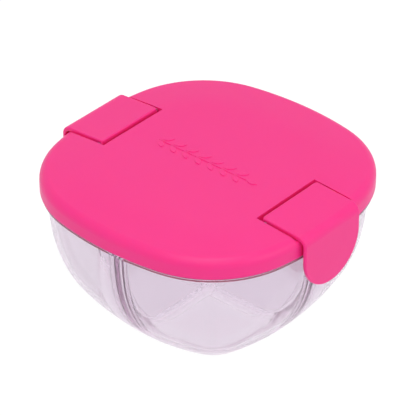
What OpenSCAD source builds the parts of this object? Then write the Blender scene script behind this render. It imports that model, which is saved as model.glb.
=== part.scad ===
// Four-compartment lunch box: a clear bowl, and a lid held down by two hinged snap latches.
// Origin in the middle of the underside, +Z up, the latches on the X axis, -Y to the front.
// Every outline is a rounded square made of eight tangent arcs: four bowed sides and four corners.

/* [Outline] */
// Half the width of the lid, across the bowed sides
half_w = 90.7; // [88:0.1:96]
// Radius of the four corner arcs of the lid
corner_r = 63.2; // [60:0.2:66]
// Radius of the four side arcs of the lid
side_r = 191; // [180:1:240]

/* [Bowl] */
// Half the width of the underside
base_half_w = 53.5; // [50:0.5:56]
// Radius of the underside's corner arcs
base_corner_r = 22; // [20:1:26]
// Radius of the underside's side arcs
base_side_r = 91; // [88:1:110]
// Height at which the wall has become upright
flare_h = 80; // [78:0.5:81]
// How quickly the wall turns upright: higher is rounder
flare_power = 2.6; // [2.2:0.1:3]
// Thickness of the wall
wall = 3; // [2.4:0.1:3.4]
// Height of the compartments' floors
floor_z = 5; // [4:0.5:6]
// Height of the rim, and of the dividers
rim_z = 84.9; // [84.5:0.1:85]
// Thickness of the flange that the latches grip
flange_t = 2.2; // [1.6:0.1:2.4]
// Thickness of a divider at its top
divider_t = 2.8; // [2:0.1:4]
// Radius of the upright fillet between a divider and the wall
divider_fillet = 11; // [8:1:12]

/* [Lid] */
// Height of the flat middle of the lid
lid_z = 96.4; // [96:0.1:97]
// Height to which the top slopes down at its border
brow_z = 94.2; // [93.8:0.1:95]
// Width of the sloping border
crown_w = 28; // [24:1:29]
// Height of the skirt's lower edge
skirt_z = 82.1; // [81.9:0.1:82.4]
// Thickness of the skirt
skirt_t = 2.8; // [2.4:0.1:3]
// Thickness of the top
top_t = 2.5; // [2:0.1:2.8]
// Radius of the edge between the skirt and the top
edge_r = 6; // [5:0.5:7]
// Height of the raised leaf sprig
relief_h = 0.5; // [0.3:0.1:0.8]

/* [Latches] */
// Width of a latch
latch_w = 49; // [44:0.2:52]
// Distance from the middle of the lid to a latch's inner end
latch_inner_x = 61.2; // [60:0.2:62]
// How far a latch's inner end stands above the lid
latch_proud = 0.8; // [0.4:0.1:1]
// How far a latch's plate slopes down towards the tab
plate_drop = 2; // [1:0.2:2.4]
// Thickness of the plate
plate_t = 2.8; // [2.6:0.1:3]
// Thickness of the tab
tab_t = 2.2; // [2:0.1:2.4]
// Height of the tab's lower end
tab_z = 55.3; // [50:0.5:60]
// Gap beyond a latch's inner end, in which it turns
end_gap = 2.8; // [2.4:0.1:3]
// Diameter of the hinge pins
pin_d = 2.4; // [2:0.1:2.6]

/* [Hidden] */
$fn = 48;
eps = 1;               // how far a cut runs past the face that it opens
overlap = 0.5;         // how deep shapes of one piece run into each other
gap = 0.3;             // between faces of different bodies
arc_steps = 6;         // chords in each arc of an outline
edge_steps = 6;        // chords in a rounded edge

// Bowl
wall_inset = 4.75;                             // from the lid's outline to the upright wall
rim_step = 0.45;
rim_inset = wall_inset + rim_step;             // to the rim above the flange
flange_inset = 0.9;                            // to the flange's edge
flange_z = skirt_z - gap;
wall_half_w = half_w - wall_inset;
foot_w = 2;                                    // width of the rounding round the underside
foot_h = 1;                                    // height of the same rounding
floor_blend_w = 11;                            // width of the curve from the wall to the floor
floor_blend_h = 9;                             // height of the same curve
divider_foot_t = 4;                            // divider's thickness at its foot
divider_foot_r = 3;                            // width of the curve from a divider to the floor
cross_r = 5;                                   // upright fillet where the dividers cross

// Lid
ceiling_z = lid_z - top_t;
seal_t = 2;
seal_w = 4.2;
seal_inset = rim_inset - gap;
seal_z = rim_z + gap;
seal_proud = 0.4;                              // how far the seals stand below the liner
liner_z = seal_z + seal_proud;                 // underside of the liner
step_z = seal_z + seal_t;                      // underside of the liner's edge, above the gasket
liner_edge_t = 1.4;
liner_top_z = step_z + liner_edge_t;
rib_inset = 12;
rib_t = 1.6;
divider_seal_w = 4;
divider_seal_t = 1.2;

// Latches and their recesses
side_gap = 1.7;                                // between a latch's side and its recess
tub_wall = 2.8;
well_wall = 2;
well_floor_t = 1.2;
recess_floor_t = 2;
plate_z = lid_z + latch_proud;                 // top of the plate at its inner end
barrel_r = 2.6;
hinge_x = latch_inner_x + barrel_r;
hinge_depth = 3.4;
hinge_z = plate_z - hinge_depth;
tab_proud = 2.8;                               // how far the tab stands out beyond the skirt
tab_x = half_w + tab_proud;                    // outer face of the tab
tab_inner_x = tab_x - tab_t;
bend_r = 6;                                    // outer radius from the plate to the tab
inner_bend_r = bend_r - plate_t;
lip_reach = 1.1;                               // how far the lip under the flange stands out
lip_h = 3.2;
lip_w = 30;
recess_half = latch_w / 2 + side_gap;
well_depth = 3.7;
well_z = hinge_z - well_depth;                 // floor of the well in which the inner end turns
well_r = hinge_x - latch_inner_x + end_gap;
tab_gap = 1.9;
backing_x = tab_inner_x - tab_gap;             // face of the skirt behind the tab
backing_t = 1.6;
recess_edge_r = 2;
tub_top_z = ceiling_z + overlap;
cut_top_z = lid_z + eps;
pin_r = pin_d / 2;
running_clearance = 0.05;
lead_in = 0.1;                                 // how much wider the way in for a pin is, all round
pin_l = 12;

// Leaf sprig
sprig_l = 76;
leaf_pairs = 7;
leaf_l = 8;
leaf_w = 3.4;
leaf_tilt = 38;
stem_w = 1;

// ---- Outlines ----

// n points on an arc, without its last one
function arc(x, y, r, from, to, n) =
    [for (i = [0 : n - 1]) let (t = from + (to - from) * i / n) [x + r * cos(t), y + r * sin(t)]];

// Distance along each axis from the middle to a corner arc's centre
function corner_centre(half, corner, side) =
    (sqrt(2 * pow(side - corner, 2) - pow(side - half, 2)) - (side - half)) / 2;

function quarter_turn(p, q) = [for (v = p) [v[0] * cos(90 * q) - v[1] * sin(90 * q),
                                            v[0] * sin(90 * q) + v[1] * cos(90 * q)]];

// The rounded square, drawn inside its full size by inset
function rounded_square(half, corner, side, inset = 0) =
    let (back = side - half,
         c = corner_centre(half, corner, side),
         t = atan2(c, c + back),
         quarter = concat(arc(-back, 0, side - inset, -t, t, arc_steps),
                          arc(c, c, corner - inset, t, 90 - t, arc_steps)))
    [for (q = [0 : 3]) each quarter_turn(quarter, q)];

function lid_outline(inset) = rounded_square(half_w, corner_r, side_r, inset);

// The arc of radius r that rounds the corner at here
function rounded_corner(before, here, after, r) =
    let (back = (before - here) / norm(before - here),
         ahead = (after - here) / norm(after - here),
         half = acos(back * ahead) / 2,
         centre = here + (back + ahead) / norm(back + ahead) * r / sin(half),
         start = here + back * r / tan(half) - centre,
         turn = sign(cross(ahead, back)) * (180 - 2 * half))
    [for (k = [0 : edge_steps]) let (t = turn * k / edge_steps)
        centre + [start.x * cos(t) - start.y * sin(t), start.x * sin(t) + start.y * cos(t)]];

// A path through corners of [point, radius], each rounded to its radius
function rounded_path(corners) = [for (i = [0 : len(corners) - 1])
    let (here = corners[i][0], r = corners[i][1])
    each r == 0 ? [here] : rounded_corner(corners[i - 1][0], here, corners[i + 1][0], r)];

// ---- Bowl profile ----

function flare(z) = 1 - pow(1 - min(z, flare_h) / flare_h, flare_power);
function half_at(z) = base_half_w + (wall_half_w - base_half_w) * flare(z);
function corner_at(z) = base_corner_r + (corner_r - wall_inset - base_corner_r) * flare(z);
function side_at(z) = base_side_r + (side_r - wall_inset - base_side_r) * flare(z);
function slope_at(z) =
    let (lean = pow(1 - min(z, flare_h) / flare_h, flare_power - 1))
    (wall_half_w - base_half_w) * flare_power / flare_h * lean;

// The wall measured level, which is more than its thickness where it leans
function level_wall(z) = wall * sqrt(1 + pow(slope_at(z), 2));
function divider_half(z) = (divider_foot_t + (divider_t - divider_foot_t) * z / rim_z) / 2;

function bowl_outline(z, inset = 0) = rounded_square(half_at(z), corner_at(z), side_at(z), inset);

// One compartment's outline, in the +X +Y quarter; the blends shrink it towards the floor
function compartment_outline(z, wall_blend = 0, divider_blend = 0) =
    let (half = half_at(z),
         inset = level_wall(z) + wall_blend,
         side = side_at(z),
         back = side - half,
         c = corner_centre(half, corner_at(z), side),
         turn = atan2(c, c + back),
         edge = divider_half(z) + divider_blend,
         fillet = divider_fillet - divider_blend,
         inner = cross_r - divider_blend,
         reach = sqrt(pow(side - inset - fillet, 2) - pow(edge + fillet, 2)),
         tilt = atan2(edge + fillet, reach))
    concat(arc(reach - back, edge + fillet, fillet, -90, tilt, arc_steps),
           arc(-back, 0, side - inset, tilt, turn, 2),
           arc(c, c, corner_at(z) - inset, turn, 90 - turn, arc_steps),
           arc(0, -back, side - inset, 90 - turn, 90 - tilt, 2),
           arc(edge + fillet, reach - back, fillet, 90 - tilt, 180, arc_steps),
           arc(edge + inner, edge + inner, inner, 180, 270, 3));

// ---- Solids ----

// A closed solid through rings of equally many points; each ring is [outline, height]
module loft(rings) {
    n = len(rings[0][0]);
    last = len(rings) - 1;
    points = [for (ring = rings) each [for (p = ring[0]) [p[0], p[1], ring[1]]]];
    sides = [for (k = [0 : last - 1], i = [0 : n - 1]) let (j = (i + 1) % n) each [
        [k * n + i, (k + 1) * n + i, (k + 1) * n + j],
        [k * n + i, (k + 1) * n + j, k * n + j]
    ]];
    first_cap = [for (i = [0 : n - 1]) i];
    last_cap = [for (i = [n - 1 : -1 : 0]) last * n + i];
    polyhedron(points, concat([first_cap], sides, [last_cap]));
}

// A plate of the lid's outline between two heights
module plate(inset, from, to) {
    translate([0, 0, from])
        linear_extrude(to - from) polygon(lid_outline(inset));
}

// Draws a profile of [x, z] as a bar that lies along Y, centred on the XZ plane
module along_y(length) {
    translate([0, length / 2, 0])
        rotate([90, 0, 0])
            linear_extrude(length) children();
}

module bowl_outside() {
    foot = [for (t = [0, 30, 60]) let (z = foot_h * (1 - cos(t)))
        [bowl_outline(z, foot_w * (1 - sin(t))), z]];
    steps = 11;
    body = [for (k = [0 : steps]) let (z = foot_h + (flange_z - flange_t - foot_h) * k / steps)
        [bowl_outline(z), z]];
    rim = [
        [lid_outline(flange_inset), flange_z - flange_t],
        [lid_outline(flange_inset), flange_z],
        [lid_outline(rim_inset), flange_z],
        [lid_outline(rim_inset), rim_z]
    ];
    loft(concat(foot, body, rim));
}

module compartment() {
    blend = [for (k = [0 : edge_steps - 1])
        let (t = 90 * k / edge_steps,
             z = floor_z + floor_blend_h * (1 - cos(t)),
             shrink = 1 - sin(t))
        [compartment_outline(z, floor_blend_w * shrink, divider_foot_r * shrink), z]];
    steps = 8;
    start = floor_z + floor_blend_h;
    side = [for (k = [0 : steps]) let (z = start + (rim_z + eps - start) * k / steps)
        [compartment_outline(z), z]];
    loft(concat(blend, side));
}

module bowl() {
    color([0.93, 0.88, 0.93, 0.45])
        difference() {
            bowl_outside();
            for (q = [0 : 3])
                rotate(90 * q) compartment();
        }
}

// From the skirt's lower edge up and over the brow to the flat middle, as [inset, height]
function lid_outside() = rounded_path([
    [[0, skirt_z], 0],
    [[0, brow_z], edge_r],
    [[crown_w, lid_z], 0]
]);

// The same under the lid, in the opposite direction
function lid_inside() = rounded_path([
    [[crown_w, ceiling_z], 0],
    [[skirt_t, brow_z - top_t], edge_r - top_t],
    [[skirt_t, skirt_z], 0]
]);

function lid_rings(path) = [for (p = path) [lid_outline(p.x), p.y]];

module lid_shell() {
    loft(lid_rings(concat(lid_inside(), lid_outside())));
}

// The plate's upper face, and the recess's floor below the plate
function plate_top(x) = plate_z - plate_drop * (x - latch_inner_x) / (tab_x - latch_inner_x);
function recess_floor(x) = plate_top(x) - plate_t - gap;

// What the right latch's recess needs in the lid: its floor, its walls and the skirt behind the tab
module recess_tub() {
    intersection() {
        along_y(2 * (recess_half + tub_wall)) {
            translate([hinge_x - well_r - well_wall, well_z - well_floor_t])
                square([2 * (well_r + well_wall), tub_top_z - well_z + well_floor_t]);
            polygon([
                [hinge_x, recess_floor(hinge_x) - recess_floor_t],
                [backing_x, recess_floor(backing_x) - recess_floor_t],
                [backing_x, tub_top_z],
                [hinge_x, tub_top_z]
            ]);
            translate([backing_x - backing_t, skirt_z])
                square([backing_t, tub_top_z - skirt_z]);
        }
        loft(lid_rings(lid_outside()));
    }
}

// The space cut out for the right latch
module recess_cut() {
    along_y(2 * recess_half) {
        translate([hinge_x - well_r, hinge_z])
            square([2 * well_r, cut_top_z - hinge_z]);
        polygon([
            [hinge_x, recess_floor(hinge_x)],
            [backing_x, recess_floor(backing_x)],
            [half_w + eps, recess_floor(backing_x)],
            [half_w + eps, cut_top_z],
            [hinge_x, cut_top_z]
        ]);
        intersection() {
            translate([hinge_x, hinge_z]) circle(well_r);
            translate([hinge_x - well_r, well_z]) square([2 * well_r, 2 * well_r]);
        }
        translate([backing_x, skirt_z - eps])
            square([half_w, cut_top_z - skirt_z]);
        translate([backing_x - recess_edge_r, recess_floor(backing_x) - recess_edge_r])
            difference() {
                square(recess_edge_r + eps);
                circle(recess_edge_r);
            }
    }
}

// Through both walls of the recess, with a lead-in under the top from which each pin is pushed in
module pin_bores() {
    translate([hinge_x, 0, hinge_z])
        rotate([90, 0, 0]) {
            cylinder(r = pin_r, h = 2 * (recess_half + tub_wall + overlap), center = true);
            for (side = [-1, 1])
                translate([0, 0, side * (recess_half + tub_wall + pin_l / 2)])
                    cylinder(r = pin_r + lead_in, h = pin_l, center = true);
        }
}

// A leaf along X, pointed at both ends
module leaf() {
    r = (pow(leaf_l / 2, 2) + pow(leaf_w / 2, 2)) / leaf_w;
    intersection_for (s = [-1, 1])
        translate([leaf_l / 2, s * (r - leaf_w / 2)]) circle(r);
}

// A stem along X with pairs of leaves, and one leaf at its tip
module sprig() {
    start = -sprig_l / 2;
    stem_l = sprig_l - leaf_l;
    pitch = stem_l / leaf_pairs;
    linear_extrude(relief_h + overlap) {
        translate([start, -stem_w / 2]) square([stem_l + stem_w, stem_w]);
        for (i = [0 : leaf_pairs - 1], s = [-1, 1])
            translate([start + pitch * i, 0]) rotate(s * leaf_tilt) leaf();
        translate([start + stem_l, 0]) leaf();
    }
}

module lid_cover() {
    color([0.96, 0.28, 0.58]) {
        difference() {
            union() {
                lid_shell();
                for (turn = [0, 180])
                    rotate(turn) recess_tub();
                difference() {
                    plate(rib_inset, liner_top_z, ceiling_z + overlap);
                    plate(rib_inset + rib_t, liner_top_z - eps, ceiling_z + eps);
                }
            }
            for (turn = [0, 180])
                rotate(turn) {
                    recess_cut();
                    pin_bores();
                }
        }
        translate([0, 0, lid_z - overlap]) sprig();
    }
}

module divider_strips(from, to) {
    reach = 2 * (half_w - seal_inset - seal_w - gap);
    translate([0, 0, (from + to) / 2]) {
        cube([reach, divider_seal_w, to - from], center = true);
        cube([divider_seal_w, reach, to - from], center = true);
    }
}

module lid_liner() {
    color([0.98, 0.45, 0.68])
        difference() {
            union() {
                plate(seal_inset + seal_w, liner_z, step_z + overlap);
                plate(seal_inset, step_z, liner_top_z);
            }
            divider_strips(liner_z - eps, seal_z + divider_seal_t);
        }
}

module rim_gasket() {
    color([0.95, 0.95, 0.95])
        difference() {
            plate(seal_inset, seal_z, step_z);
            plate(seal_inset + seal_w, seal_z - eps, step_z + eps);
        }
}

module divider_seal() {
    color([0.95, 0.95, 0.95])
        divider_strips(seal_z, seal_z + divider_seal_t);
}

// Plate, bend and tab, and the barrel round the pins
module latch_section() {
    difference() {
        union() {
            polygon(rounded_path([
                [[latch_inner_x, plate_z], 0],
                [[tab_x, plate_top(tab_x)], bend_r],
                [[tab_x, tab_z], 0],
                [[tab_inner_x, tab_z], 0],
                [[tab_inner_x, plate_top(tab_x) - plate_t], inner_bend_r],
                [[latch_inner_x, plate_z - plate_t], 0]
            ]));
            translate([hinge_x, hinge_z]) circle(barrel_r);
        }
        translate([hinge_x, hinge_z]) circle(pin_r + running_clearance);
    }
}

// The shallow lip that snaps under the flange
module latch_lip() {
    lip_z = flange_z - flange_t - gap;
    along_y(lip_w)
        polygon([
            [tab_inner_x + tab_t / 2, lip_z],
            [tab_inner_x - lip_reach, lip_z],
            [tab_inner_x - lip_reach, lip_z - lip_h / 3],
            [tab_inner_x + tab_t / 2, lip_z - lip_h]
        ]);
}

// Seen along X, the latch is a tongue with a half-round end
module tongue() {
    r = latch_w / 2;
    rotate([90, 0, 90])
        linear_extrude(tab_x + eps) {
            translate([-r, tab_z + r]) square([latch_w, plate_z]);
            translate([0, tab_z + r])
                intersection() {
                    circle(r, $fn = 2 * $fn);
                    translate([-r, -r]) square([latch_w, r]);
                }
        }
}

module latch() {
    color([0.98, 0.33, 0.6]) {
        intersection() {
            along_y(latch_w) latch_section();
            tongue();
        }
        latch_lip();
    }
}

module latch_right() {
    latch();
}

module latch_left() {
    rotate(180) latch();
}

// One of a latch's two pins; side is -1 at the front and 1 at the rear
module hinge_pin(side) {
    color("silver")
        translate([hinge_x, side * (recess_half + tub_wall - pin_l / 2), hinge_z])
            rotate([90, 0, 0])
                cylinder(r = pin_r, h = pin_l, center = true);
}

module hinge_pin_right_front() {
    hinge_pin(-1);
}

module hinge_pin_right_rear() {
    hinge_pin(1);
}

module hinge_pin_left_front() {
    rotate(180) hinge_pin(1);
}

module hinge_pin_left_rear() {
    rotate(180) hinge_pin(-1);
}

bowl();
lid_cover();
lid_liner();
rim_gasket();
divider_seal();
latch_right();
latch_left();
hinge_pin_right_front();
hinge_pin_right_rear();
hinge_pin_left_front();
hinge_pin_left_rear();
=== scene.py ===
import math

import bmesh
import bpy
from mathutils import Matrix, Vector


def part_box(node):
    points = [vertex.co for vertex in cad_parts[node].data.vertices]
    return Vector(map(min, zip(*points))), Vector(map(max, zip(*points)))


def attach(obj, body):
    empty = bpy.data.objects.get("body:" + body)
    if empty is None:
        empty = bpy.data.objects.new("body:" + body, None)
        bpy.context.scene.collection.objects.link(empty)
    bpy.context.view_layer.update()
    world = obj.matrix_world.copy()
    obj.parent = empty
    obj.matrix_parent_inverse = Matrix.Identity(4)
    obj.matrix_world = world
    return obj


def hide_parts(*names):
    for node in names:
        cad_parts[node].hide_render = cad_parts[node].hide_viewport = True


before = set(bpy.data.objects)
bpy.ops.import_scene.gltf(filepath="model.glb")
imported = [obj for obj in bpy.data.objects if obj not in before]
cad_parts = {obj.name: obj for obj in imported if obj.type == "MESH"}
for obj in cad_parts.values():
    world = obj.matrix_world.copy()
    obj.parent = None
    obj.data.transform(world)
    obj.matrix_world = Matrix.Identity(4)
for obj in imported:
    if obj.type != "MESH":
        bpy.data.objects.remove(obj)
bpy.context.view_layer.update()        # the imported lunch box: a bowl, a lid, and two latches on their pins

MM = 0.001


# ---- Sizes in millimetres; those that the frame gives are read from it ----

def frame_mm(node):
    """Lowest and highest corner of a CAD node, in millimetres."""
    low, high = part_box(node)
    return low / MM, high / MM


BOWL_HIGH = frame_mm("bowl")[1]
LID_LOW, LID_HIGH = frame_mm("lid_cover")
LINER_LOW, LINER_HIGH = frame_mm("lid_liner")
GASKET_LOW, GASKET_HIGH = frame_mm("rim_gasket")
SEAL_LOW, SEAL_HIGH = frame_mm("divider_seal")
LATCH_LOW, LATCH_HIGH = frame_mm("latch_right")
PIN_LOW, PIN_HIGH = frame_mm("hinge_pin_right_rear")

GAP = 0.3                    # between faces of different bodies

# Outlines: rounded squares of four bowed sides and four corners
HALF_W = LID_HIGH.y
CORNER_R = 63.2
SIDE_R = 191
ARC_STEPS = 16

# Bowl
RIM_Z = BOWL_HIGH.z
WALL_INSET = 4.75
RIM_INSET = 5.2
FLANGE_INSET = HALF_W - BOWL_HIGH.y
FLANGE_Z = LID_LOW.z - GAP
FLANGE_T = 2.2
WALL_HALF_W = HALF_W - WALL_INSET
BASE_HALF_W = 53.5
BASE_CORNER_R = 22
BASE_SIDE_R = 91
FLARE_H = 80
FLARE_POWER = 2.6
WALL = 3
FOOT_W = 2
FOOT_H = 1
FLOOR_Z = 5
FLOOR_BLEND_W = 11
FLOOR_BLEND_H = 9
DIVIDER_T = 2.8
DIVIDER_FOOT_T = 4
DIVIDER_FOOT_R = 3
DIVIDER_FILLET = 11
CROSS_R = 5
TOP_ROUND = 0.9
LEDGE_Z = 77                 # a small step outwards inside the bowl, under the rim
LEDGE_W = 0.5

# Lid
SKIRT_Z = LID_LOW.z
RELIEF_H = 0.5
LID_Z = LID_HIGH.z - RELIEF_H
SKIRT_T = 2.8
TOP_T = 2.5
BROW_Z = 94.2
CROWN_W = 28
CROWN_R = 200
EDGE_R = 6
CEILING_Z = LID_Z - TOP_T
RIB_INSET = 12
RIB_T = 1.6
SEAL_W = 4.2
SEAL_BAR_HALF = 2
LINER_MIDDLE = 30            # inset at which the liner's flat faces close

# Latches, their recesses and their pins
PLATE_Z = LATCH_HIGH.z
PLATE_T = 2.8
PLATE_END_X = LATCH_LOW.x
PLATE_DROP = 2
TAB_X = LATCH_HIGH.x
TAB_Z = LATCH_LOW.z
TAB_T = 2.2
LATCH_HALF = LATCH_HIGH.y
BEND_R = 6
BARREL_R = 2.6
LIP_REACH = 1.1
LIP_H = 3.2
LIP_HALF = 15
LIP_TOP_Z = FLANGE_Z - FLANGE_T - GAP
OUTER_ROUND = 0.9
INNER_ROUND = 0.5
PIN_R = (PIN_HIGH.x - PIN_LOW.x) / 2
PIN_PLAY = 0.05
BORE_R = PIN_R + PIN_PLAY
HINGE_X = PIN_HIGH.x - PIN_R
HINGE_Z = PIN_HIGH.z - PIN_R
SIDE_GAP = 1.7
END_GAP = 2.8
WELL_DEPTH = 3.7             # from the hinge down to the well's floor
TAB_GAP = 1.9                # behind the tab, where it passes the lid
RECESS_HALF = LATCH_HALF + SIDE_GAP
TUB_HALF = PIN_HIGH.y
RECESS_FLOOR_T = 2
WELL_R = HINGE_X - PLATE_END_X + END_GAP
WELL_Z = HINGE_Z - WELL_DEPTH
WELL_WALL = 2
WELL_FLOOR_T = 1.2
BACKING_X = TAB_X - TAB_T - TAB_GAP
BACKING_T = 1.6
RECESS_EDGE_R = 0.8

# Raised leaf sprig
SPRIG_L = 76
LEAF_PAIRS = 7
LEAF_L = 8
LEAF_W = 3.4
LEAF_TILT = 38               # degrees from the stem
STEM_W = 1


# ---- Curves ----

def arc(x, y, radius, start, end, steps):
    """Points on an arc, without its last one; angles in degrees."""
    angles = [math.radians(start + (end - start) * i / steps) for i in range(steps)]
    return [(x + radius * math.cos(a), y + radius * math.sin(a)) for a in angles]


def quarter_turn(points, turns):
    """Points turned by quarter turns about the middle."""
    c, s = [(1, 0), (0, 1), (-1, 0), (0, -1)][turns % 4]
    return [(x * c - y * s, x * s + y * c) for x, y in points]


def corner_centre(half, corner, side):
    """Distance along each axis from the middle to a corner arc's centre."""
    back = side - half
    return (math.sqrt(2 * (side - corner) ** 2 - back ** 2) - back) / 2


def rounded_square(half, corner, side, inset=0.0):
    """The rounded square, drawn inside its full size by inset."""
    back = side - half
    c = corner_centre(half, corner, side)
    turn = math.degrees(math.atan2(c, c + back))
    quarter = arc(-back, 0, side - inset, -turn, turn, ARC_STEPS)
    quarter += arc(c, c, corner - inset, turn, 90 - turn, ARC_STEPS)
    return [p for q in range(4) for p in quarter_turn(quarter, q)]


def lid_outline(inset):
    """The lid's outline, drawn inside its full size by inset."""
    return rounded_square(HALF_W, CORNER_R, SIDE_R, inset)


def rounded_path(corners):
    """A path through corners of (inset, height, radius), each rounded to its radius."""
    path = []
    for i, (inset, z, radius) in enumerate(corners):
        if radius == 0:
            path.append((inset, z))
            continue
        here = Vector((inset, z))
        back = (Vector(corners[i - 1][:2]) - here).normalized()
        ahead = (Vector(corners[(i + 1) % len(corners)][:2]) - here).normalized()
        half = back.angle(ahead) / 2
        reach = radius / math.tan(half)
        centre = here + (back + ahead).normalized() * radius / math.sin(half)
        start = (here + back * reach - centre).normalized()
        end = (here + ahead * reach - centre).normalized()
        steps = min(3 + int(radius), 16)
        for k in range(steps + 1):
            path.append(tuple(centre + start.slerp(end, k / steps) * radius))
    return path


# ---- Meshes ----

def add_ring(bm, outline, z):
    """Vertices along an outline at one height."""
    return [bm.verts.new((x * MM, y * MM, z * MM)) for x, y in outline]


def bridge(bm, rings):
    """Quads between each ring and the next; the rings have equally many vertices."""
    for low, high in zip(rings, rings[1:]):
        count = len(low)
        for i in range(count):
            j = (i + 1) % count
            bm.faces.new((low[i], low[j], high[j], high[i]))


def loft(bm, sections, cap_first=True, cap_last=True):
    """A skin through sections of (outline, height); gives its last ring."""
    rings = [add_ring(bm, outline, z) for outline, z in sections]
    bridge(bm, rings)
    if cap_first:
        bm.faces.new(rings[0])
    if cap_last:
        bm.faces.new(rings[-1])
    return rings[-1]


def lid_sections(path):
    """Sections of the lid's outline along a path of (inset, height)."""
    return [(lid_outline(inset), z) for inset, z in path]


def bar_along_y(bm, profile, half_length):
    """A bar along Y whose section is the profile of (x, z)."""
    ends = []
    for y in (-half_length, half_length):
        ends.append([bm.verts.new((x * MM, y * MM, z * MM)) for x, z in profile])
    bridge(bm, ends)
    bm.faces.new(ends[0])
    bm.faces.new(ends[1])


def make_object(name, bm):
    """The finished mesh as an object, with its faces turned outwards."""
    bmesh.ops.recalc_face_normals(bm, faces=bm.faces)
    mesh = bpy.data.meshes.new(name)
    bm.to_mesh(mesh)
    bm.free()
    piece = bpy.data.objects.new(name, mesh)
    bpy.context.scene.collection.objects.link(piece)
    return piece


def combine(piece, other, operation):
    """Adds other to piece, takes it away or keeps what both share; other is used up."""
    step = piece.modifiers.new("combine", "BOOLEAN")
    step.operation = operation
    step.solver = "EXACT"
    step.object = other
    graph = bpy.context.evaluated_depsgraph_get()
    mesh = bpy.data.meshes.new_from_object(piece.evaluated_get(graph))
    piece.modifiers.clear()
    piece.data = mesh
    bpy.data.objects.remove(other)


def round_edges(piece, radius, within, sharper_than=35):
    """Rounds the sharp edges whose middle is within a test of (x, y, z) in millimetres."""
    bm = bmesh.new()
    bm.from_mesh(piece.data)
    bmesh.ops.remove_doubles(bm, verts=bm.verts, dist=0.02 * MM)
    edges = []
    for edge in bm.edges:
        middle = (edge.verts[0].co + edge.verts[1].co) / (2 * MM)
        sharp = edge.is_manifold and edge.calc_face_angle() > math.radians(sharper_than)
        if sharp and within(*middle):
            edges.append(edge)
    bmesh.ops.bevel(bm, geom=edges, offset=radius * MM, segments=3, profile=0.5,
                    affect="EDGES", clamp_overlap=True)
    bm.to_mesh(piece.data)
    bm.free()


def finish_surface(piece, sharp_angle=40):
    """Smooth shading that keeps broad faces flat and real edges sharp."""
    piece.data.shade_smooth()
    piece.data.set_sharp_from_angle(angle=math.radians(sharp_angle))
    weighted = piece.modifiers.new("even_shading", "WEIGHTED_NORMAL")
    weighted.mode = "FACE_AREA"
    weighted.weight = 100
    weighted.keep_sharp = True


def place(piece, body, material, node):
    """Gives a finished piece its material and body, and hides the CAD node that it stands for."""
    piece.data.materials.clear()
    piece.data.materials.append(material)
    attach(piece, body)
    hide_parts(node)


# ---- Bowl ----

def flare(z):
    """How far the bowl has widened at a height: 0 at its base, 1 at the upright wall."""
    return 1 - (1 - min(z, FLARE_H) / FLARE_H) ** FLARE_POWER


def bowl_shape(z):
    """Half width, corner radius and side radius of the bowl's outside at a height."""
    half = BASE_HALF_W + (WALL_HALF_W - BASE_HALF_W) * flare(z)
    corner = BASE_CORNER_R + (CORNER_R - WALL_INSET - BASE_CORNER_R) * flare(z)
    side = BASE_SIDE_R + (SIDE_R - WALL_INSET - BASE_SIDE_R) * flare(z)
    return half, corner, side


def level_wall(z):
    """The wall measured level, which is more than its thickness where it leans."""
    lean = (1 - min(z, FLARE_H) / FLARE_H) ** (FLARE_POWER - 1)
    slope = (WALL_HALF_W - BASE_HALF_W) * FLARE_POWER / FLARE_H * lean
    return WALL * math.sqrt(1 + slope ** 2)


def compartment_outline(z, wall_blend=0.0, divider_blend=0.0):
    """One compartment's outline in the +X +Y quarter; the blends shrink it."""
    half, corner, side = bowl_shape(z)
    back = side - half
    c = corner_centre(half, corner, side)
    turn = math.degrees(math.atan2(c, c + back))
    inset = level_wall(z) + wall_blend
    edge = (DIVIDER_FOOT_T + (DIVIDER_T - DIVIDER_FOOT_T) * z / RIM_Z) / 2 + divider_blend
    fillet = DIVIDER_FILLET - divider_blend
    inner = CROSS_R - divider_blend
    reach = math.sqrt((side - inset - fillet) ** 2 - (edge + fillet) ** 2)
    tilt = math.degrees(math.atan2(edge + fillet, reach))
    points = arc(reach - back, edge + fillet, fillet, -90, tilt, 12)
    points += arc(-back, 0, side - inset, tilt, turn, 6)
    points += arc(c, c, corner - inset, turn, 90 - turn, ARC_STEPS)
    points += arc(0, -back, side - inset, 90 - turn, 90 - tilt, 6)
    points += arc(edge + fillet, reach - back, fillet, 90 - tilt, 180, 12)
    points += arc(edge + inner, edge + inner, inner, 180, 270, 8)
    return points


def compartment_sections():
    """From the floor, round the curve at its edge, up the wall and over the rounded top."""
    blend_steps = 10
    wall_steps = 30
    top_steps = 6
    wall_start = FLOOR_Z + FLOOR_BLEND_H
    wall_end = RIM_Z - TOP_ROUND
    sections = []
    for k in range(blend_steps):
        t = math.radians(90 * k / blend_steps)
        z = FLOOR_Z + FLOOR_BLEND_H * (1 - math.cos(t))
        shrink = 1 - math.sin(t)
        outline = compartment_outline(z, FLOOR_BLEND_W * shrink, DIVIDER_FOOT_R * shrink)
        sections.append((outline, z))
    for k in range(wall_steps + 1):
        z = wall_start + (LEDGE_Z - wall_start) * k / wall_steps
        sections.append((compartment_outline(z), z))
    sections.append((compartment_outline(LEDGE_Z, -LEDGE_W), LEDGE_Z + LEDGE_W))
    for k in range(top_steps + 1):
        t = math.radians(90 * k / top_steps)
        spread = -TOP_ROUND * (1 - math.cos(t))
        outline = compartment_outline(wall_end, spread - LEDGE_W, spread)
        sections.append((outline, wall_end + TOP_ROUND * math.sin(t)))
    return sections


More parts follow.
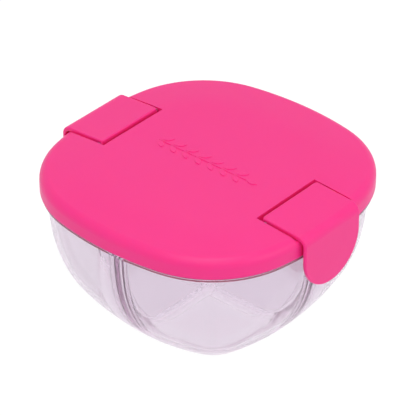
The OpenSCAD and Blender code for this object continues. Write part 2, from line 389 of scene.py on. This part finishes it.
def bowl_outside_sections():
    """From the underside, round its edge, up the flared wall and over the flange to the rim."""
    foot_steps = 5
    wall_steps = 44
    wall_end = FLANGE_Z - FLANGE_T - 1
    sections = []
    for k in range(foot_steps):
        t = math.radians(90 * k / foot_steps)
        z = FOOT_H * (1 - math.cos(t))
        sections.append((rounded_square(*bowl_shape(z), FOOT_W * (1 - math.sin(t))), z))
    for k in range(wall_steps + 1):
        z = FOOT_H + (wall_end - FOOT_H) * k / wall_steps
        sections.append((rounded_square(*bowl_shape(z)), z))
    path = rounded_path([
        (WALL_INSET, wall_end + 0.1, 0),
        (WALL_INSET, FLANGE_Z - FLANGE_T, 0.6),
        (FLANGE_INSET, FLANGE_Z - FLANGE_T, 0.5),
        (FLANGE_INSET, FLANGE_Z, 0.5),
        (RIM_INSET, FLANGE_Z, 0.6),
        (RIM_INSET, RIM_Z, 0.7),
        (RIM_INSET + 0.8, RIM_Z, 0),
    ])
    return sections + lid_sections(path)


def build_bowl():
    """The clear bowl: its outside, its compartments, and the top face that joins them."""
    bm = bmesh.new()
    rims = [loft(bm, bowl_outside_sections(), cap_last=False)]
    for q in range(4):
        sections = [(quarter_turn(outline, q), z) for outline, z in compartment_sections()]
        rims.append(loft(bm, sections, cap_last=False))
    edges = [bm.edges.get((rim[i - 1], rim[i])) for rim in rims for i in range(len(rim))]
    bmesh.ops.triangle_fill(bm, edges=edges, use_beauty=True, normal=(0, 0, 1))
    piece = make_object("bowl_body", bm)
    finish_surface(piece, 60)
    return piece


# ---- Lid ----

def lid_outside_path():
    """From the skirt's lower edge up and over the brow to the flat middle."""
    return rounded_path([
        (SKIRT_T, SKIRT_Z, 0),
        (0, SKIRT_Z, 0.6),
        (0, BROW_Z, EDGE_R),
        (CROWN_W, LID_Z, CROWN_R),
        (CROWN_W + 12, LID_Z, 0),
    ])


def build_lid_shell():
    """The skirt and the top as one closed shell, with the rib that backs the liner."""
    bm = bmesh.new()
    inner_brow_z = BROW_Z - TOP_T
    slope = (CEILING_Z - inner_brow_z) / (CROWN_W - SKIRT_T)
    rib_root_z = inner_brow_z + slope * (RIB_INSET - SKIRT_T)
    inside = rounded_path([
        (CROWN_W, CEILING_Z, 0),
        (RIB_INSET + RIB_T, rib_root_z + slope * RIB_T, 0.8),
        (RIB_INSET + RIB_T, LINER_HIGH.z, 0.3),
        (RIB_INSET, LINER_HIGH.z, 0.3),
        (RIB_INSET, rib_root_z, 0.8),
        (SKIRT_T, inner_brow_z, EDGE_R - TOP_T),
        (SKIRT_T, SKIRT_Z, 0.6),
        (0, SKIRT_Z, 0),
    ])
    loft(bm, lid_sections(inside[:-1] + lid_outside_path()[1:]))
    return make_object("lid_moulding", bm)


def well_arc(radius, bottom_z):
    """The rounded bottom of the well about the hinge, cut level at bottom_z, from left to right."""
    start = math.degrees(math.asin((HINGE_Z - bottom_z) / radius))
    left = arc(HINGE_X, HINGE_Z, radius, 180, 180 + start, 10)
    right = [(2 * HINGE_X - x, z) for x, z in reversed(left)]
    return left + [(HINGE_X - radius * math.cos(math.radians(start)), bottom_z),
                   (HINGE_X + radius * math.cos(math.radians(start)), bottom_z)] + right


def recess_floor(x):
    """Height of the recess's floor, which follows the sloping plate of the latch."""
    return PLATE_Z - PLATE_DROP * (x - PLATE_END_X) / (TAB_X - PLATE_END_X) - PLATE_T - GAP


def build_recess_tub():
    """The floor and walls that the right latch's recess needs inside the lid."""
    left = HINGE_X - WELL_R - WELL_WALL
    right = HINGE_X + WELL_R + WELL_WALL
    low = WELL_Z - WELL_FLOOR_T
    top = CEILING_Z + TOP_T / 2
    bm = bmesh.new()
    bar_along_y(bm, [
        (left, top),
        (left, low),
        (right, low),
        (right, recess_floor(right) - RECESS_FLOOR_T),
        (BACKING_X - BACKING_T, recess_floor(BACKING_X) - RECESS_FLOOR_T),
        (BACKING_X - BACKING_T, SKIRT_Z + 0.3),
        (BACKING_X + 1, SKIRT_Z + 0.3),
        (BACKING_X + 1, top),
    ], TUB_HALF)
    tub = make_object("recess_tub", bm)
    bm = bmesh.new()
    inside = [(inset + 0.2, z - 0.2) for inset, z in lid_outside_path()[1:]]
    loft(bm, lid_sections([(0.2, SKIRT_Z - 1)] + inside))
    combine(tub, make_object("lid_limit", bm), "INTERSECT")
    return tub


def build_recess_cut():
    """The space for the right latch: the well, the floor under the plate, the slot for the tab."""
    above = LID_Z + 3
    beyond = HALF_W + 5
    edge_r = 2
    low = recess_floor(BACKING_X)
    rounding = arc(BACKING_X - edge_r, low - edge_r, edge_r, 90, 0, 6)
    profile = [(HINGE_X - WELL_R, above)]
    profile += well_arc(WELL_R, WELL_Z)
    profile += [(HINGE_X + WELL_R, recess_floor(HINGE_X + WELL_R))]
    profile += rounding
    profile += [(BACKING_X, low - edge_r), (BACKING_X, SKIRT_Z - 3)]
    profile += [(beyond, SKIRT_Z - 3), (beyond, above)]
    bm = bmesh.new()
    bar_along_y(bm, profile, RECESS_HALF)
    return make_object("recess_cut", bm)


def build_pin_bore():
    """The bore for the right latch's pins, right through the recess's side walls."""
    bm = bmesh.new()
    circle = arc(HINGE_X, HINGE_Z, PIN_R, 0, 360, 32)
    bar_along_y(bm, circle, TUB_HALF + 1)
    return make_object("pin_bore", bm)


def half_turned(piece):
    """Turns a mesh by half a turn about Z, for the left side."""
    for vertex in piece.data.vertices:
        vertex.co.x = -vertex.co.x
        vertex.co.y = -vertex.co.y
    return piece


def add_pad(bm, outline, centre):
    """A flat-topped pad on the lid over an outline about its centre, with a rounded shoulder."""
    shoulder = 0.12
    sections = [(outline, LID_Z - 0.3), (outline, LID_Z + RELIEF_H - 2 * shoulder)]
    for k in (1, 2, 3):
        t = math.radians(30 * k)
        scale = 1 - shoulder * (1 - math.cos(t))
        ring = [(centre[0] + (x - centre[0]) * scale, centre[1] + (y - centre[1]) * scale)
                for x, y in outline]
        sections.append((ring, LID_Z + RELIEF_H - 2 * shoulder * (1 - math.sin(t))))
    loft(bm, sections)


def add_leaf(bm, x, tilt):
    """A pointed leaf that leaves the stem at x, tilted by tilt degrees."""
    r = (LEAF_L ** 2 + LEAF_W ** 2) / (4 * LEAF_W)
    reach = math.degrees(math.asin(LEAF_L / 2 / r))
    low = r - LEAF_W / 2
    near = STEM_W * 1.2
    middle = near + LEAF_L / 2
    points = arc(middle, -low, r, 90 - reach, 90 + reach, 10)
    points += arc(middle, low, r, 270 - reach, 270 + reach, 10)
    c = math.cos(math.radians(tilt))
    s = math.sin(math.radians(tilt))
    turned = [(x + px * c - py * s, px * s + py * c) for px, py in points]
    add_pad(bm, turned, (x + middle * c, middle * s))


def build_sprig():
    """The raised sprig of leaves in the middle of the lid."""
    bm = bmesh.new()
    start = -SPRIG_L / 2
    stem_l = SPRIG_L - LEAF_L - STEM_W
    pitch = stem_l / LEAF_PAIRS
    half = STEM_W / 2
    stem = arc(start + stem_l - half, 0, half, -90, 90, 6)
    stem += [(start + stem_l - half, half)]
    stem += arc(start + half, 0, half, 90, 270, 6)
    stem += [(start + half, -half)]
    loft(bm, [(stem, LID_Z - 0.3), (stem, LID_Z + RELIEF_H * 0.8)])
    for i in range(LEAF_PAIRS):
        for side in (-1, 1):
            add_leaf(bm, start + pitch * i, side * LEAF_TILT)
    add_leaf(bm, start + stem_l - STEM_W, 0)
    return make_object("sprig", bm)


def near_recess(x, y, z):
    """Whether a point lies on the rim of a latch's recess, where it shows."""
    return abs(x) > HINGE_X - WELL_R - 1 and abs(y) < RECESS_HALF + 0.5 and z > SKIRT_Z - 0.5


def build_lid_cover():
    """The pink lid: shell, recesses for both latches, bores for the pins, and the sprig."""
    piece = build_lid_shell()
    for turn in (False, True):
        for build, operation in ((build_recess_tub, "UNION"), (build_recess_cut, "DIFFERENCE")):
            tool = build()
            combine(piece, half_turned(tool) if turn else tool, operation)
    round_edges(piece, RECESS_EDGE_R, near_recess)
    for turn in (False, True):
        bore = build_pin_bore()
        combine(piece, half_turned(bore) if turn else bore, "DIFFERENCE")
    combine(piece, build_sprig(), "UNION")
    finish_surface(piece)
    return piece


def plus_outline(half_length, half_width, inset):
    """A cross of two bars along X and Y, drawn inside its full size by inset."""
    a = half_length - inset
    b = half_width - inset
    quarter = [(a, -b), (a, b), (b, b)]
    return [p for q in range(4) for p in quarter_turn(quarter, q)]


def build_divider_seal():
    """The soft cross that meets the tops of the dividers."""
    half_length = SEAL_HIGH.x
    height = SEAL_HIGH.z - SEAL_LOW.z
    path = rounded_path([(1, SEAL_LOW.z, 0), (0, SEAL_LOW.z, 0.5), (0, SEAL_HIGH.z, height / 4),
                         (1, SEAL_HIGH.z, 0)])
    bm = bmesh.new()
    loft(bm, [(plus_outline(half_length, SEAL_BAR_HALF, inset), z) for inset, z in path])
    piece = make_object("divider_seal_cross", bm)
    finish_surface(piece)
    return piece


def build_liner():
    """The plate inside the lid, stepped for the gasket and grooved for the cross."""
    step_z = GASKET_HIGH.z
    outer = HALF_W - LINER_HIGH.y
    bm = bmesh.new()
    loft(bm, lid_sections(rounded_path([
        (LINER_MIDDLE, LINER_LOW.z, 0),
        (outer + SEAL_W, LINER_LOW.z, 0.4),
        (outer + SEAL_W, step_z, 0.3),
        (outer, step_z, 0.3),
        (outer, LINER_HIGH.z, 0.5),
        (LINER_MIDDLE, LINER_HIGH.z, 0),
    ])))
    piece = make_object("liner_plate", bm)
    bm = bmesh.new()
    groove = plus_outline(SEAL_HIGH.x, SEAL_BAR_HALF, 0)
    loft(bm, [(groove, LINER_LOW.z - 1), (groove, SEAL_HIGH.z)])
    combine(piece, make_object("groove", bm), "DIFFERENCE")
    finish_surface(piece)
    return piece


def build_gasket():
    """The ring above the bowl's rim, with two beads along its underside."""
    outer = HALF_W - GASKET_HIGH.y
    bead_h = 0.3
    bead_steps = 24
    section = [(outer + SEAL_W, GASKET_HIGH.z), (outer, GASKET_HIGH.z)]
    for k in range(bead_steps + 1):
        u = k / bead_steps
        bead = (1 + math.cos(4 * math.pi * u)) / 2
        section.append((outer + SEAL_W * u, GASKET_LOW.z + bead_h * bead))
    bm = bmesh.new()
    rings = [add_ring(bm, lid_outline(inset), z) for inset, z in section]
    bridge(bm, rings + [rings[0]])
    piece = make_object("gasket_ring", bm)
    finish_surface(piece)
    return piece


# ---- Latches ----

PLATE_TILT = math.atan2(PLATE_DROP, TAB_X - PLATE_END_X)
BEND_TURN = math.pi / 2 - PLATE_TILT
PLATE_L = (TAB_X - PLATE_END_X) / math.cos(PLATE_TILT) - BEND_R * math.tan(BEND_TURN / 2)
BEND_L = BEND_R * BEND_TURN
BEND_X = TAB_X - BEND_R
BEND_Z = PLATE_Z - PLATE_L * math.sin(PLATE_TILT) - BEND_R * math.cos(PLATE_TILT)
TONGUE_S = PLATE_L + BEND_L + BEND_Z - TAB_Z - LATCH_HALF


def bend_share(s):
    """0 on the plate, 1 on the tab, and between them in the bend."""
    return min(max((s - PLATE_L) / BEND_L, 0), 1)


def on_latch(s, y, depth):
    """A point of the bent latch: s along its outer face from the inner end, depth below it."""
    turn = PLATE_TILT + BEND_TURN * bend_share(s)
    to_bend = min(s - PLATE_L, 0)
    below = max(s - PLATE_L - BEND_L, 0)
    x = BEND_X + (BEND_R - depth) * math.sin(turn) + to_bend * math.cos(PLATE_TILT)
    z = BEND_Z + (BEND_R - depth) * math.cos(turn) - to_bend * math.sin(PLATE_TILT) - below
    return Vector((x, y, z)) * MM


def latch_half_outline():
    """Half of the flattened latch's outline as (s, y, normal s, normal y), with y over 0."""
    corner = 2
    outline = []
    for k in range(6):
        t = math.radians(180 - 90 * k / 6)
        outline.append((corner + corner * math.cos(t), LATCH_HALF - corner + corner * math.sin(t),
                        math.cos(t), math.sin(t)))
    stations = [corner + (PLATE_L - corner) * k / 6 for k in range(6)]
    stations += [PLATE_L + BEND_L * k / 12 for k in range(12)]
    stations += [PLATE_L + BEND_L + (TONGUE_S - PLATE_L - BEND_L) * k / 4 for k in range(4)]
    outline += [(s, LATCH_HALF, 0.0, 1.0) for s in stations]
    for k in range(32):
        t = math.radians(90 - 90 * k / 32)
        outline.append((TONGUE_S + LATCH_HALF * math.cos(t), LATCH_HALF * math.sin(t),
                        math.cos(t), math.sin(t)))
    return outline


def latch_ring(bm, outline, degrees, outer_face):
    """One ring of the rounded edge at the outer or the inner face; 0 degrees is on the face."""
    t = math.radians(degrees)
    ring = []
    for side in (1, -1):
        points = outline if side == 1 else list(reversed(outline))
        for s, y, normal_s, normal_y in points:
            share = bend_share(s)
            thickness = PLATE_T + (TAB_T - PLATE_T) * share
            radius = OUTER_ROUND if outer_face else INNER_ROUND
            inset = radius * (1 - math.sin(t))
            drop = radius * (1 - math.cos(t))
            depth = drop if outer_face else thickness - drop
            point = on_latch(s - normal_s * inset, side * (y - normal_y * inset), depth)
            ring.append(bm.verts.new(point))
    return ring


def add_strips(bm, ring):
    """Closes a ring of mirrored halves with strips straight across it."""
    count = len(ring)
    for i in range(count // 2 - 1):
        bm.faces.new((ring[i], ring[i + 1], ring[count - 2 - i], ring[count - 1 - i]))


def build_latch():
    """The right latch: a bent plate and tab, the barrel round the pins, and the snap lip."""
    outline = latch_half_outline()
    bm = bmesh.new()
    rings = [latch_ring(bm, outline, degrees, True) for degrees in (0, 18, 36, 54, 72, 90)]
    rings += [latch_ring(bm, outline, degrees, False) for degrees in (90, 60, 30, 0)]
    bridge(bm, rings)
    add_strips(bm, rings[0])
    add_strips(bm, rings[-1])
    piece = make_object("latch_right_body", bm)

    bm = bmesh.new()
    bar_along_y(bm, arc(HINGE_X, HINGE_Z, BARREL_R, 0, 360, 48), LATCH_HALF - 0.02)
    combine(piece, make_object("barrel", bm), "UNION")

    inner_x = TAB_X - TAB_T
    bm = bmesh.new()
    bar_along_y(bm, [
        (inner_x + TAB_T / 2, LIP_TOP_Z),
        (inner_x - LIP_REACH + 0.3, LIP_TOP_Z),
        (inner_x - LIP_REACH, LIP_TOP_Z - 0.3),
        (inner_x - LIP_REACH, LIP_TOP_Z - LIP_H / 3),
        (inner_x + TAB_T / 2, LIP_TOP_Z - LIP_H),
    ], LIP_HALF)
    combine(piece, make_object("lip", bm), "UNION")

    bm = bmesh.new()
    bar_along_y(bm, arc(HINGE_X, HINGE_Z, BORE_R, 0, 360, 32), LATCH_HALF + 1)
    combine(piece, make_object("bore", bm), "DIFFERENCE")
    finish_surface(piece)
    return piece


def build_left_latch(right):
    """The same latch, turned half round."""
    left = right.copy()
    left.data = right.data.copy()
    left.name = "latch_left_body"
    bpy.context.scene.collection.objects.link(left)
    return half_turned(left)


def build_pin(node):
    """A plain steel pin with a chamfer at each end, where the frame has it."""
    low, high = frame_mm(node)
    middle_x = (low.x + high.x) / 2
    middle_z = (low.z + high.z) / 2
    radius = (high.x - low.x) / 2
    chamfer = 0.25
    bm = bmesh.new()
    rings = []
    for y, r in ((low.y, radius - chamfer), (low.y + chamfer, radius),
                 (high.y - chamfer, radius), (high.y, radius - chamfer)):
        circle = arc(middle_x, middle_z, r, 0, 360, 32)
        rings.append([bm.verts.new((x * MM, y * MM, z * MM)) for x, z in circle])
    bridge(bm, rings)
    bm.faces.new(rings[0])
    bm.faces.new(rings[-1])
    piece = make_object(node + "_steel", bm)
    finish_surface(piece, 30)
    return piece


# ---- Materials ----

def new_material(name):
    """A material with its node tree and its shader."""
    material = bpy.data.materials.new(name)
    material.use_nodes = True
    tree = material.node_tree
    return material, tree, tree.nodes["Principled BSDF"]


def noise(tree, scale, detail=3.0, stretch=(1, 1, 1)):
    """Noise in the piece's own coordinates, with scale counted per metre."""
    coordinates = tree.nodes.new("ShaderNodeTexCoord")
    mapping = tree.nodes.new("ShaderNodeMapping")
    mapping.inputs["Scale"].default_value = stretch
    texture = tree.nodes.new("ShaderNodeTexNoise")
    texture.inputs["Scale"].default_value = scale
    texture.inputs["Detail"].default_value = detail
    tree.links.new(coordinates.outputs["Object"], mapping.inputs["Vector"])
    tree.links.new(mapping.outputs["Vector"], texture.inputs["Vector"])
    return texture.outputs["Fac"]


def to_range(tree, value, low, high):
    """Maps a value between 0 and 1 to a range."""
    mapped = tree.nodes.new("ShaderNodeMapRange")
    mapped.inputs["To Min"].default_value = low
    mapped.inputs["To Max"].default_value = high
    tree.links.new(value, mapped.inputs["Value"])
    return mapped.outputs["Result"]


def colour_between(tree, factor, first, second):
    """A colour that moves from first to second with a factor."""
    mix = tree.nodes.new("ShaderNodeMix")
    mix.data_type = "RGBA"
    mix.inputs[6].default_value = (*first, 1)
    mix.inputs[7].default_value = (*second, 1)
    tree.links.new(factor, mix.inputs[0])
    return mix.outputs[2]


def bump(tree, shader, height, strength, depth):
    """Raises the surface with a height of up to depth metres."""
    node = tree.nodes.new("ShaderNodeBump")
    node.inputs["Strength"].default_value = strength
    node.inputs["Distance"].default_value = depth
    tree.links.new(height, node.inputs["Height"])
    tree.links.new(node.outputs["Normal"], shader.inputs["Normal"])


def pink_plastic():
    """Satin moulded plastic with a fine eroded grain and faint handling marks."""
    material, tree, shader = new_material("pink_plastic")
    colour = colour_between(tree, noise(tree, 30), (0.89, 0.025, 0.240), (0.91, 0.029, 0.252))
    tree.links.new(colour, shader.inputs["Base Color"])
    roughness = to_range(tree, noise(tree, 160, 5), 0.32, 0.42)
    tree.links.new(roughness, shader.inputs["Roughness"])
    shader.inputs["IOR"].default_value = 1.46
    shader.inputs["Specular IOR Level"].default_value = 0.4
    shader.inputs["Subsurface Weight"].default_value = 0.35
    shader.inputs["Subsurface Radius"].default_value = (1.0, 0.15, 0.35)
    shader.inputs["Subsurface Scale"].default_value = 0.003
    bump(tree, shader, noise(tree, 3200, 2), 0.12, 0.00004)
    return material


def clear_plastic():
    """Clear moulded plastic with a lilac tint that deepens with its thickness."""
    material, tree, shader = new_material("clear_plastic")
    colour = colour_between(tree, noise(tree, 25), (0.955, 0.935, 0.965), (0.965, 0.945, 0.972))
    tree.links.new(colour, shader.inputs["Base Color"])
    roughness = to_range(tree, noise(tree, 220, 5), 0.0, 0.05)
    tree.links.new(roughness, shader.inputs["Roughness"])
    shader.inputs["IOR"].default_value = 1.48
    shader.inputs["Transmission Weight"].default_value = 0.95
    bump(tree, shader, noise(tree, 70, 1), 0.08, 0.0002)
    tint = tree.nodes.new("ShaderNodeVolumeAbsorption")
    tint.inputs["Color"].default_value = (0.62, 0.25, 0.54, 1)
    tint.inputs["Density"].default_value = 12
    tree.links.new(tint.outputs["Volume"], tree.nodes["Material Output"].inputs["Volume"])
    return material


def silicone():
    """Milky soft rubber with a dusty surface."""
    material, tree, shader = new_material("silicone")
    colour = colour_between(tree, noise(tree, 90), (0.78, 0.76, 0.78), (0.86, 0.84, 0.86))
    tree.links.new(colour, shader.inputs["Base Color"])
    roughness = to_range(tree, noise(tree, 400, 4), 0.5, 0.7)
    tree.links.new(roughness, shader.inputs["Roughness"])
    bump(tree, shader, noise(tree, 2500, 3), 0.2, 0.00005)
    return material


def steel():
    """Turned steel, with fine lines round the pins."""
    material, tree, shader = new_material("steel")
    lines = noise(tree, 900, 2, (0.1, 6, 0.1))
    tree.links.new(colour_between(tree, lines, (0.52, 0.52, 0.53), (0.66, 0.66, 0.67)),
                   shader.inputs["Base Color"])
    tree.links.new(to_range(tree, lines, 0.22, 0.38), shader.inputs["Roughness"])
    shader.inputs["Metallic"].default_value = 1.0
    bump(tree, shader, lines, 0.2, 0.00002)
    return material


def floor_panel():
    """A plain white panel that glows, the same all over.

    What the plastic mirrors and lets through is a little darker and more lilac than the white
    that the camera sees.
    """
    material, tree, shader = new_material("floor_panel")
    seen = tree.nodes.new("ShaderNodeLightPath").outputs["Is Camera Ray"]
    light = colour_between(tree, seen, (0.85, 0.805, 0.86), (0.98, 0.98, 0.98))
    tree.links.new(light, shader.inputs["Emission Color"])
    shader.inputs["Emission Strength"].default_value = 1.0
    shader.inputs["Base Color"].default_value = (0.08, 0.08, 0.08, 1)
    shader.inputs["Roughness"].default_value = 0.9
    shader.inputs["Specular IOR Level"].default_value = 0.0
    return material


# ---- Studio ----

CAMERA_AZIMUTH = 40.64       # degrees from -Y towards +X
CAMERA_ELEVATION = 34.11
CAMERA_DISTANCE = 1.6269
CAMERA_TARGET = Vector((0, 0, 0.0640))
LENS_MM = 238.77
SENSOR_MM = 36


def towards(azimuth, elevation):
    """The direction from the object to a viewer at these angles in degrees."""
    a = math.radians(azimuth)
    e = math.radians(elevation)
    return Vector((math.sin(a) * math.cos(e), -math.cos(a) * math.cos(e), math.sin(e)))


def aim(thing, azimuth, elevation, distance, target):
    """Puts a camera or a light at a distance from its target and turns it to face it."""
    direction = towards(azimuth, elevation)
    thing.location = target + direction * distance
    thing.rotation_euler = direction.to_track_quat("Z", "Y").to_euler()


def add_camera():
    """The camera at the viewing angle of the picture that the object was built from."""
    data = bpy.data.cameras.new("camera")
    data.lens = LENS_MM
    data.sensor_width = SENSOR_MM
    data.clip_end = 20
    camera = bpy.data.objects.new("camera", data)
    bpy.context.scene.collection.objects.link(camera)
    aim(camera, CAMERA_AZIMUTH, CAMERA_ELEVATION, CAMERA_DISTANCE, CAMERA_TARGET)
    bpy.context.scene.camera = camera


def add_softbox(name, azimuth, elevation, distance, size, power):
    """A large square area light; angles are counted as for the camera."""
    data = bpy.data.lights.new(name, "AREA")
    data.size = size
    data.energy = power
    light = bpy.data.objects.new(name, data)
    bpy.context.scene.collection.objects.link(light)
    aim(light, azimuth, elevation, distance, CAMERA_TARGET)


def add_world(strength):
    """White surroundings, which the camera itself sees as pure white."""
    world = bpy.data.worlds.new("studio")
    world.use_nodes = True
    tree = world.node_tree
    path = tree.nodes.new("ShaderNodeLightPath")
    seen = to_range(tree, path.outputs["Is Camera Ray"], strength, 1.0)
    tree.links.new(seen, tree.nodes["Background"].inputs["Strength"])
    tree.nodes["Background"].inputs["Color"].default_value = (1, 1, 1, 1)
    bpy.context.scene.world = world


def allow_long_light_paths():
    """Lets light run on inside the clear bowl and the latches' gaps, which go dark otherwise."""
    cycles = bpy.context.scene.cycles
    cycles.max_bounces = 32
    cycles.transmission_bounces = 32
    cycles.diffuse_bounces = 16
    cycles.glossy_bounces = 24


def add_floor():
    """A wide floor at height 0."""
    bm = bmesh.new()
    bmesh.ops.create_grid(bm, x_segments=8, y_segments=8, size=4)
    floor = make_object("floor", bm)
    floor.data.materials.append(floor_panel())


def build_object():
    """Every piece of the lunch box, each placed on its body."""
    pink = pink_plastic()
    clear = clear_plastic()
    rubber = silicone()
    metal = steel()
    place(build_bowl(), "bowl", clear, "bowl")
    place(build_lid_cover(), "lid", pink, "lid_cover")
    place(build_liner(), "lid", pink, "lid_liner")
    place(build_gasket(), "lid", rubber, "rim_gasket")
    place(build_divider_seal(), "lid", rubber, "divider_seal")
    right = build_latch()
    left = build_left_latch(right)
    place(right, "latch_right", pink, "latch_right")
    place(left, "latch_left", pink, "latch_left")
    for side in ("right", "left"):
        for end in ("front", "rear"):
            node = "hinge_pin_" + side + "_" + end
            place(build_pin(node), "lid", metal, node)


add_camera()
add_softbox("key", 30, 58, 0.8, 0.6, 1.1)
add_softbox("fill", 100, 30, 2.0, 1.2, 6)
add_softbox("top", 20, 84, 0.9, 0.4, 1.1)
add_world(0.745)
add_floor()
allow_long_light_paths()
bpy.context.scene.view_settings.view_transform = "Standard"
build_object()
